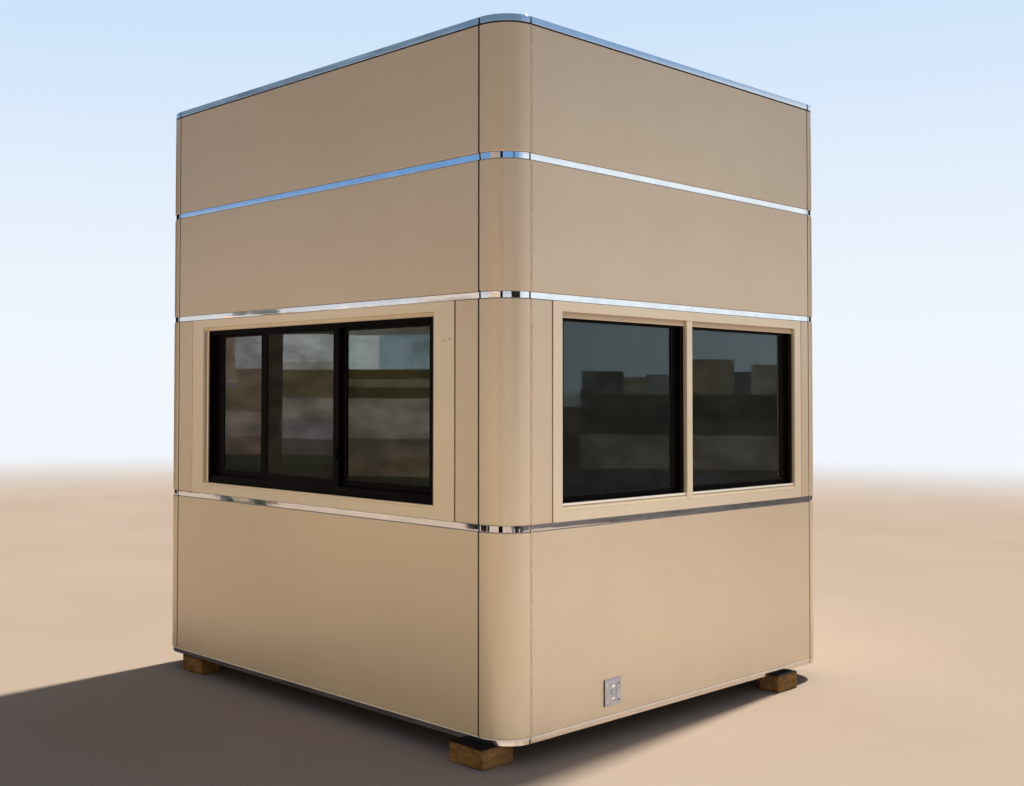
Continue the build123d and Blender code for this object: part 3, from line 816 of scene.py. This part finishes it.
# Door
def build_door():
    """The closed door: frame with stops, soft-edged leaf and gasket."""
    frame_width, leaf_back, gap = 0.045, 0.06, 0.0038
    bm = bmesh.new()
    ring(bm, "back", (*DOOR_FRAME, RAIL_TOP, DOOR_FRAME_TOP), (0.025, *[frame_width] * 3),
         lipped_section(leaf_back, WALL, 0.0015), (0, 0.012, 0.012, 0.012))
    piece("door_frame_sections", bm, "window_trim", "door_frame")
    bm = bmesh.new()
    bar(bm, "back", DOOR_LEAF, DOOR_LEVELS, (0.02, leaf_back), 0.0035, 3)
    piece("door_leaf_skin", bm, "door_paint", "door_leaf")
    bm = bmesh.new()
    clear = (DOOR_FRAME[0] + frame_width + 0.0002, DOOR_FRAME[1] - frame_width - 0.0002,
             DOOR_LEVELS[0] - gap, DOOR_LEVELS[1] + gap)
    ring(bm, "back", clear, (0.0034,) * 4, ring_section(0.046, 0.0595, 0.0004))
    piece("door_gasket", bm, "black_frame", look="rubber")


def build_hinges():
    """Three hinges: a knuckle of three lengths with round tips, and a plate with three screws."""
    pin, depth = 0.053, 0.0118
    bm = bmesh.new()
    for up in (0.45, 1.209, 1.968):
        for number in range(3):
            low = up - 0.048 + number * 0.0325
            soft_rod(bm, at("back", pin, low, depth), at("back", pin, low + 0.0315, depth), 0.007, 0.0012)
        for end in (-1, 1):
            tip = at("back", pin, up + end * 0.0492, depth)
            soft_rod(bm, tip, tip + Vector((0, 0, end * 0.005)), 0.0042, 0.0018, 16)
        plate(bm, "back", (0.076, up), (0.034, 0.096), 0.004, (0.018, 0.0201), 0.0008)
        for row in (-0.034, 0, 0.034):
            screw(bm, "back", 0.079, up + row, 0.0181, 0.004, 0.0012)
    piece("door_hinges", bm, "handle_steel")


def build_lever():
    """A lever on its plate, with a lock under it."""
    across, up = DOOR_LEAF[1] - 0.07, DOOR_LEVELS[0] + 1.0
    lock, face, reach = up - 0.07, 0.0142, -0.018
    bm = bmesh.new()
    plate(bm, "back", (across, up), (0.042, 0.21), 0.0105, (0.014, 0.0201), 0.0018)
    rose = [(0, 0.0155), (0.004, 0.0155), (0.0052, 0.0146), (0.006, 0.0095), (0.0075, 0.0085),
            (0.0342, 0.008)]
    turned(bm, at("back", across, up, face), at("back", across, up, -0.02), rose)
    start, end = at("back", across + 0.008, up, reach), at("back", across - 0.132, up, reach)
    soft_rod(bm, start, end, 0.0078, 0.0045, 28)
    turned(bm, at("back", across, lock, face), at("back", across, lock, 0.01),
           [(0, 0.0105), (0.0022, 0.0105), (0.0032, 0.0095), (0.0034, 0.004), (0.0026, 0.0036)], 28)
    for row in (-0.095, 0.095):
        screw(bm, "back", across, up + row, 0.0141, 0.004, 0.0014)
    piece("door_lever_set", bm, "handle_steel", "door_handle")


# Outlet plate
def build_outlet_plate():
    """The outlet's cover: a soft plate with a sunk insert, two tabs, a round cap and four screws. The tabs
    and left screws are painted pale as glints, the right screws dark as shade, and a dark gasket shows as the
    plate's shaded left side.
    """
    front, insert = -0.008, -0.0048
    bm = bmesh.new()
    plate(bm, "right", OUTLET, (0.12, 0.12), 0.0045, (front, 0.0), 0.0022, (0.05, 0.08, 0.003))
    cap = OUTLET + Vector((0.001, -0.002))
    profile = [(0, 0.0145), (0.0014, 0.0145), (0.0022, 0.0136), (0.0026, 0.0118), (0.0015, 0.01),
               (0.0015, 0.003)]
    turned(bm, at("right", *cap, insert), at("right", *cap, front), profile, 32)
    piece("outlet_cover", bm, "plate_metal", "outlet_plate")
    bm, bright = bmesh.new(), bmesh.new()
    # Painted glints and shade: the left screws go pale with the tabs, the right screws dark
    for target, across in ((bright, -0.042), (bm, 0.042)):
        for up in (-0.04, 0.036):
            screw(target, "right", OUTLET[0] + across, OUTLET[1] + up, -0.0079, 0.0048, 0.0018)
    piece("outlet_screws", bm, "handle_steel", look="sealant")
    plate(bright, "right", OUTLET + Vector((0.001, 0.027)), (0.03, 0.014), 0.0066, (-0.0084, insert), 0.0016)
    plate(bright, "right", OUTLET + Vector((0.001, -0.029)), (0.026, 0.01), 0.0046, (-0.0072, insert), 0.0014)
    piece("outlet_fittings", bright, "handle_steel", look="pale_bead")
    # Painted shade: a dark gasket, widest on the plate's left, standing in for the shaded side of the plate
    bm = bmesh.new()
    ring(bm, "right", (OUTLET[0] - 0.0612, OUTLET[0] + 0.0602, OUTLET[1] - 0.0602, OUTLET[1] + 0.0598),
         (0.003, 0.003, 0.003, 0.005), ring_section(-0.006, 0.0001, 0.0004))
    piece("outlet_gasket", bm, "black_frame", look="seam_filler")


# Base and roof
def build_base():
    """Rails between the corners, and joists from the front rail to the back one."""
    bm = bmesh.new()
    for side in SIDES:
        bar(bm, side, (-RUN, RUN), (BASE, RAIL_TOP), (CLAD, WALL), 0.004, 3)
    piece("base_rail_sections", bm, "frame_steel", "base_rails")
    bm = bmesh.new()
    reach, count, half_joist = 2 * RUN - 0.05, 9, 0.025
    for i in range(count):
        middle = -reach / 2 + reach * i / (count - 1)
        across = (middle - half_joist, middle + half_joist)
        bar(bm, "front", across, (BASE, RAIL_TOP), (WALL, 2 * HALF - WALL), 0.004, 3)
    piece("base_joist_sections", bm, "frame_steel", "base_joists")


def build_roof():
    """Ribs of the roof sheet with their fixings, and a flashing that turns up round the edge."""
    ribs, fixings = bmesh.new(), bmesh.new()
    foot, top = ROOF_TOP + 0.0002, ROOF_TOP + 0.014
    bolt = [(0, 0.0085), (0.0012, 0.0085), (0.0016, 0.0055), (0.0052, 0.005), (0.0058, 0.0042)]
    for i in range(9):
        middle = -1.08 + 0.27 * i
        section = rounded([(middle - 0.03, foot, 0), (middle - 0.017, top, 0.004),
                           (middle + 0.017, top, 0.004), (middle + 0.03, foot, 0)])
        loft(ribs, [[(x, y, level) for x, level in section] for y in (-1.205, 1.205)])
        for k in range(7):
            spot = Vector((middle, -1.14 + 0.38 * k, top - 0.0004))
            turned(fixings, spot, spot + Vector((0, 0, 0.006)), bolt, 12)
    piece("roof_ribs", ribs, "roof_sheet")
    piece("roof_fixings", fixings, "handle_steel")
    bm = bmesh.new()
    outer, inner, end = WALL + 0.0006, WALL + 0.0026, WALL + 0.0456
    upturn, over, under = ROOF_TOP + 0.055, ROOF_TOP + 0.0026, ROOF_TOP + 0.0004
    section = [(outer, upturn), (inner, upturn), (inner, over), (end, over), (end, under), (outer, under)]
    for side in SIDES:
        straight(bm, side, (-RUN + 0.002, RUN - 0.002), section)
    piece("roof_flashing", bm, "roof_sheet")


# Foot blocks
def build_blocks():
    """Rough blocks: fine grids whose faces sink in by noise, with crumbled edges, inside the plain blocks."""
    edge, ground_gap = 0.007, 1e-4
    whole = bmesh.new()
    for number, (along_x, along_y) in enumerate(BLOCKS):
        bm = bmesh.new()
        bmesh.ops.create_cube(bm, size=1.0)
        size = Vector((along_x[1] - along_x[0], along_y[1] - along_y[0], BASE))
        middle = Vector((sum(along_x) / 2, sum(along_y) / 2, BASE / 2))
        bmesh.ops.subdivide_edges(bm, edges=bm.edges[:], cuts=26, use_grid_fill=True)
        for vert in bm.verts:
            point = vert.co * size
            margins = [half - abs(value) for half, value in zip(size / 2, point)]
            crumble = max(0.0, edge - sorted(margins)[1]) / edge
            rough = 0.5 + 0.5 * noise.fractal((point + middle) * 26 + Vector((number * 7, 0, 0)), 0.7, 2.0, 5)
            coarse = 0.5 + 0.5 * noise.noise((point + middle) * 60)
            sink = 0.0004 + 0.0016 * max(0.0, min(1.0, rough)) + crumble * (0.0016 + 0.0042 * coarse)
            inward = Vector([-copysign(1, value) if margin < 1e-5 else 0
                             for margin, value in zip(margins, point)])
            level = point.z + middle.z
            if level > BASE - ground_gap or level < ground_gap:
                inward.z = 0 if crumble < 0.05 else inward.z * 0.3
            vert.co = middle + point + inward * sink
        single = bpy.data.meshes.new("block")
        bm.to_mesh(single)
        bm.free()
        whole.from_mesh(single)
        bpy.data.meshes.remove(single)
    piece("rough_foot_blocks", whole, "block", "foot_blocks")


# Studio
def add_floor():
    """A round pale floor that fades out at its rim."""
    bm = bmesh.new()
    rings, steps, reach = 24, 96, 34.0
    middle = bm.verts.new((0, 0, 0))
    rows = []
    for i in range(1, rings + 1):
        radius = reach * (i / rings) ** 1.6
        rows.append([bm.verts.new((radius * cos(turn), radius * sin(turn), 0)) for turn in around(steps)])
    for k in range(steps):
        bm.faces.new((middle, rows[0][k], rows[0][(k + 1) % steps]))
    skin(bm, rows)
    look = Look("studio_floor", {"Specular IOR Level": 0.0}, (0.445, 0.349, 0.276))
    look.lay(look.spread(look.noise(0.5, 4)), (0.47, 0.374, 0.297))
    speck = look.noise(40, 4, 0.6)
    look.lay(look.spread(speck, 0.4, 0.7, 0, 0.12), (0.405, 0.318, 0.25))
    look.done(look.spread(speck, 0.3, 0.7, 0.72, 0.85), look.bump(speck, 0.0006, 0.5))
    distance = look.node("VectorMath", {0: look.place}, operation="LENGTH").outputs["Value"]
    clear = look.node("BsdfTransparent").outputs[0]
    fade = look.spread(distance, 11, 26)
    look.surface(look.node("MixShader", {0: fade, 1: look.shader.outputs[0], 2: clear}))
    floor = mesh_object("studio_floor", bm, look.material)


def add_lamp(name, kind, energy, colour, back, **settings):
    """A light that shines away from the direction of its back."""
    data = bpy.data.lights.new(name, kind)
    data.energy = energy
    data.color = colour
    for key, value in settings.items():
        setattr(data, key, value)
    made = new_object(name, data)
    made.rotation_euler = back.to_track_quat("Z", "Y").to_euler()
    return made


def add_lights():
    """A soft sun behind the booth, and two fills that light only the booth."""
    add_lamp("sun", "SUN", 5.15, (1.0, 0.95, 0.87), Vector((-0.085, 1.0, 1.22)), angle=radians(3))
    for name, place, aim, energy, colour in (
            ("right_fill", (3.7, -0.1, 0.8), (1.35, 0.0, 0.85), 29.0, (1.0, 0.98, 0.96)),
            ("front_fill", (0.5, -3.8, 0.75), (0.3, -1.35, 0.85), 14.5, (1.0, 0.82, 0.46))):
        back = Vector(place) - Vector(aim)
        fill = add_lamp(name, "AREA", energy, colour, back, shape="RECTANGLE", size=3.6, size_y=1.0)
        fill.location = place
        fill.visible_camera = fill.visible_glossy = fill.visible_transmission = False
        fill.light_linking.receiver_collection = booth


def add_dome():
    """The sky: pale towards the sun and bluer away from it, and sharper for reflections, with a low skyline
    and the ground. The camera sees a plain backdrop."""
    world = bpy.data.worlds.new("studio_dome")
    bpy.context.scene.world = world
    world.use_nodes = True
    sky = Nodes(world.node_tree, "Generated")
    east, north, height = sky.parts
    sight = sky.node("LightPath").outputs
    gloss = sight["Is Glossy Ray"]

    def rise(low, high, foot, top):
        return sky.mix(sky.spread(height, low, high), foot, top)

    near_sun = rise(0.02, 0.5, (0.8, 0.8, 0.79), (0.21, 0.26, 0.34))
    far_sky = rise(0.05, 0.4, (0.62, 0.49, 0.35), (0.16, 0.19, 0.25))
    near_sharp = rise(0.17, 0.3, (0.88, 0.96, 1.01), (0.25, 0.4, 0.62))
    high_sharp = rise(0.21, 0.31, (0.17, 0.355, 0.65), (0.145, 0.225, 0.34))
    far_sharp = rise(0.06, 0.18, (0.72, 0.73, 0.74), high_sharp)
    away = sky.spread(north, 0.5, -0.12)
    dome = sky.mix(away, sky.mix(gloss, near_sun, near_sharp), sky.mix(gloss, far_sky, far_sharp))

    stepped = sky.work("SNAP", sky.work("ARCTAN2", north, east), 0.06)
    blocky = sky.node("TexWhiteNoise", {"W": stepped}, noise_dimensions="1D").outputs["Value"]
    ragged = sky.noise(1.6, 5, 0.6, (7, 7, 3))
    lift = sky.work("MULTIPLY_ADD", blocky, -0.018, 0)
    lift = sky.work("MULTIPLY_ADD", ragged, -0.055, lift)
    hill = sky.spread(sky.sum(height, lift), -0.04, -0.043)
    dome = sky.mix(hill, dome, sky.mix(blocky, (0.03, 0.033, 0.03), (0.085, 0.07, 0.055)))
    ground = sky.mix(gloss, (0.62, 0.49, 0.37), (0.6, 0.58, 0.5))
    dome = rise(0.004, -0.004, dome, ground)
    seen = rise(0, 0.42, (0.88, 0.93, 0.98), (0.55, 0.73, 0.96))
    colour = sky.mix(sight["Is Camera Ray"], dome, seen)
    sky.tree.links.new(colour, sky.tree.nodes["Background"].inputs["Color"])


# Studio cards that only reflections see: the start and end of an arc in degrees, its distance and its foot,
# then the top and the tone of each tier above that
CARDS = (
    # Seen in the rounded corners
    (267, 302.5, 15, 0, 3.6, (0.86, 0.66, 0.5)),
    (273.5, 302.5, 15, 3.6, 5.7, (0.46, 0.37, 0.3)),
    (304.6, 310.8, 7.5, 0, 4.5, (0.006, 0.006, 0.006)),
    (300.8, 311, 7.4, 0, 0.62, (0.006, 0.006, 0.006)),
    (235, 245.5, 8.6, 2.1, 3.3, (0.66, 0.56, 0.48)),
    (239, 252.5, 8.6, 0, 0.62, (0.022, 0.016, 0.022)),
    (252, 266.8, 8.4, 0, 0.5, (0.01, 0.008, 0.008)),
    (268.3, 275.2, 8.4, 0, 0.5, (0.01, 0.008, 0.008)),
    (334, 360, 11, 0, 3.2, (0.022, 0.02, 0.016)),
    (339.5, 342.5, 10.8, 0, 5.6, (0.01, 0.01, 0.012)),
    (334, 339, 7.2, 0, 0.8, (0.2, 0.19, 0.17)),
    (341, 352, 7.2, 0, 0.8, (0.03, 0.028, 0.024)),
    (355, 366, 7.2, 0, 0.8, (0.09, 0.086, 0.08)),
    # Seen in the bands
    (148, 207, 13, 0, 5.6, (0.02, 0.017, 0.016)),
    (68, 112, 13, 0, 5.6, (0.03, 0.026, 0.024)),
    (205, 233, 15, 5.8, 8.6, (0.165, 0.235, 0.32)),
    (217.8, 219, 10, 0, 0.55, (0.03, 0.05, 0.04)),
    (219, 220.5, 10, 0, 0.4, (0.34, 0.27, 0.19)),
    (220.5, 221.8, 10, 0, 0.55, (0.035, 0.055, 0.04)),
    # Seen in the right side's glass
    (4, 84, 9, 0, 0.68, (0.16, 0.136, 0.13), 1.45, (0.2, 0.145, 0.095)),
    (42, 60, 8.9, 0.74, 1.13, (0.36, 0.29, 0.22), 1.66, (0.14, 0.125, 0.085)),
    (42, 45.2, 8.8, 1.6, 1.87, (0.22, 0.2, 0.16)),
    (45.2, 46.8, 8.8, 1.6, 1.8, (0.44, 0.36, 0.27)),
    (46.8, 48.6, 8.8, 1.6, 1.83, (0.34, 0.32, 0.28)),
    (48.6, 50, 8.8, 1.6, 1.92, (0.46, 0.36, 0.26)),
    (50, 51.3, 8.8, 1.6, 2, (0.36, 0.28, 0.19)),
    (51.3, 53.2, 8.8, 1.6, 2, (0.3, 0.25, 0.18)),
    (53.2, 54.4, 8.8, 1.6, 1.86, (0.16, 0.16, 0.14)),
    (54.4, 60, 8.8, 1.6, 1.94, (0.36, 0.31, 0.25)),
    # Seen in the front's glass
    (196, 248, 12, 0.3, 0.72, (0.2, 0.155, 0.09)),
    (217.3, 220.5, 11.9, 0.72, 0.98, (0.75, 0.44, 0.32), 1.34, (1.02, 0.68, 0.52), 1.7, (0.8, 0.5, 0.3)),
    (217.3, 218.5, 11.9, 1.74, 2.62, (1.15, 0.7, 0.5)),
    (218.5, 220.5, 11.9, 1.7, 1.95, (0.98, 0.58, 0.38), 2.42, (2.15, 1.75, 1.65)),
    (218.2, 221.6, 11.9, 2.64, 2.95, (0.2, 0.19, 0.17)),
    (220.5, 221.9, 11.9, 0, 2.62, (0.25, 0.15, 0.1)),
    (221.9, 225.5, 11.9, 0.72, 0.95, (0.4, 0.27, 0.2), 1.25, (0.9, 0.68, 0.62), 1.53, (1.15, 0.85, 0.68),
     1.94, (0.66, 0.43, 0.2), 2.05, (1.95, 1.55, 1.3), 2.44, (2.55, 2.2, 2.15), 2.62, (0.5, 0.33, 0.22)),
    (226.1, 232.6, 11.9, 0.42, 0.96, (0.62, 0.4, 0.24), 1.53, (1.22, 0.9, 0.66), 1.69, (0.32, 0.2, 0.06),
     1.81, (0.82, 0.58, 0.3), 1.95, (0.31, 0.2, 0.04)),
    (226.1, 228.4, 11.9, 1.95, 2.43, (2.8, 2.6, 2.4)),
    (228.4, 230.5, 11.9, 1.95, 2.43, (1.52, 1.62, 1.66)),
    (230.5, 232.6, 11.9, 1.95, 2.43, (1.48, 1.6, 1.62)),
    (226.1, 232.6, 11.9, 2.43, 2.68, (1, 0.78, 0.62)),
)
# Two cards that lie on the ground: a start and end along X, a start and end along Y, and a tone. The first is
# a dark sheet painted as shadow in front of the booth, the second a pale one painted as sunlit ground past
# the corner.
GROUND_CARDS = (
    (-2.4, 1.41, -1.9, -1.3, (0.045, 0.038, 0.036)),
    (1.41, 2.3, -2.6, -1.15, (0.86, 0.71, 0.55)),
)


def arc(start, end, distance, low, high, steps=24):
    """Pairs of points, low and high, along an arc round the booth."""
    pairs = []
    for i in range(steps + 1):
        turn = radians(start + (end - start) * i / steps)
        pairs.append([(distance * cos(turn), distance * sin(turn), level) for level in (low, high)])
    return pairs


def add_cards():
    """The cards, with a patchy glow, so that polished bands and glass have something to show."""
    shapes = []
    for start, end, distance, foot, *tiers in CARDS:
        for top, tone in zip(tiers[::2], tiers[1::2]):
            shapes.append((arc(start, end, distance, foot, top), tone))
            foot = top
    for x0, x1, y0, y1, tone in GROUND_CARDS:
        shapes.append(([((x, y0, 0.003), (x, y1, 0.003)) for x in (x0, x1)], tone))
    for number, (pairs, tone) in enumerate(shapes):
        name = f"studio_card_{number}"
        bm = bmesh.new()
        rows = [[bm.verts.new(spot) for spot in pair] for pair in pairs]
        for previous, pair in zip(rows, rows[1:]):
            bm.faces.new((previous[0], pair[0], pair[1], previous[1]))
        look = Look(name, {})
        patchy = look.spread(look.noise(1.8, 4.0, 0.6, (1.0, 1.0, 1.7)), 0.28, 0.72, 0.6, 1.4)
        look.surface(look.node("Emission", {"Color": (*tone, 1), "Strength": patchy}))
        card = mesh_object(name, bm, look.material)
        card.visible_camera = card.visible_diffuse = card.visible_shadow = False


# Making it all
add_camera()
add_floor()
add_lights()
add_dome()
add_cards()
slots = {entry["node"]: entry["material_slot"] for entry in frame["record"]["subparts"]}
for name, made in frame["nodes"].items():
    made.data.materials.clear()
    made.data.materials.append(LOOKS[slots[name]])
    booth.objects.link(made)
build_cladding()
build_bands()
build_seals()
build_surrounds()
build_front_window()
build_side_windows()
build_window_fittings()
build_door()
build_hinges()
build_lever()
build_outlet_plate()
build_base()
build_roof()
build_blocks()

view = bpy.context.scene.view_settings
view.view_transform = "Standard"
view.look = "None"
view.exposure = 0
bpy.context.view_layer.update()
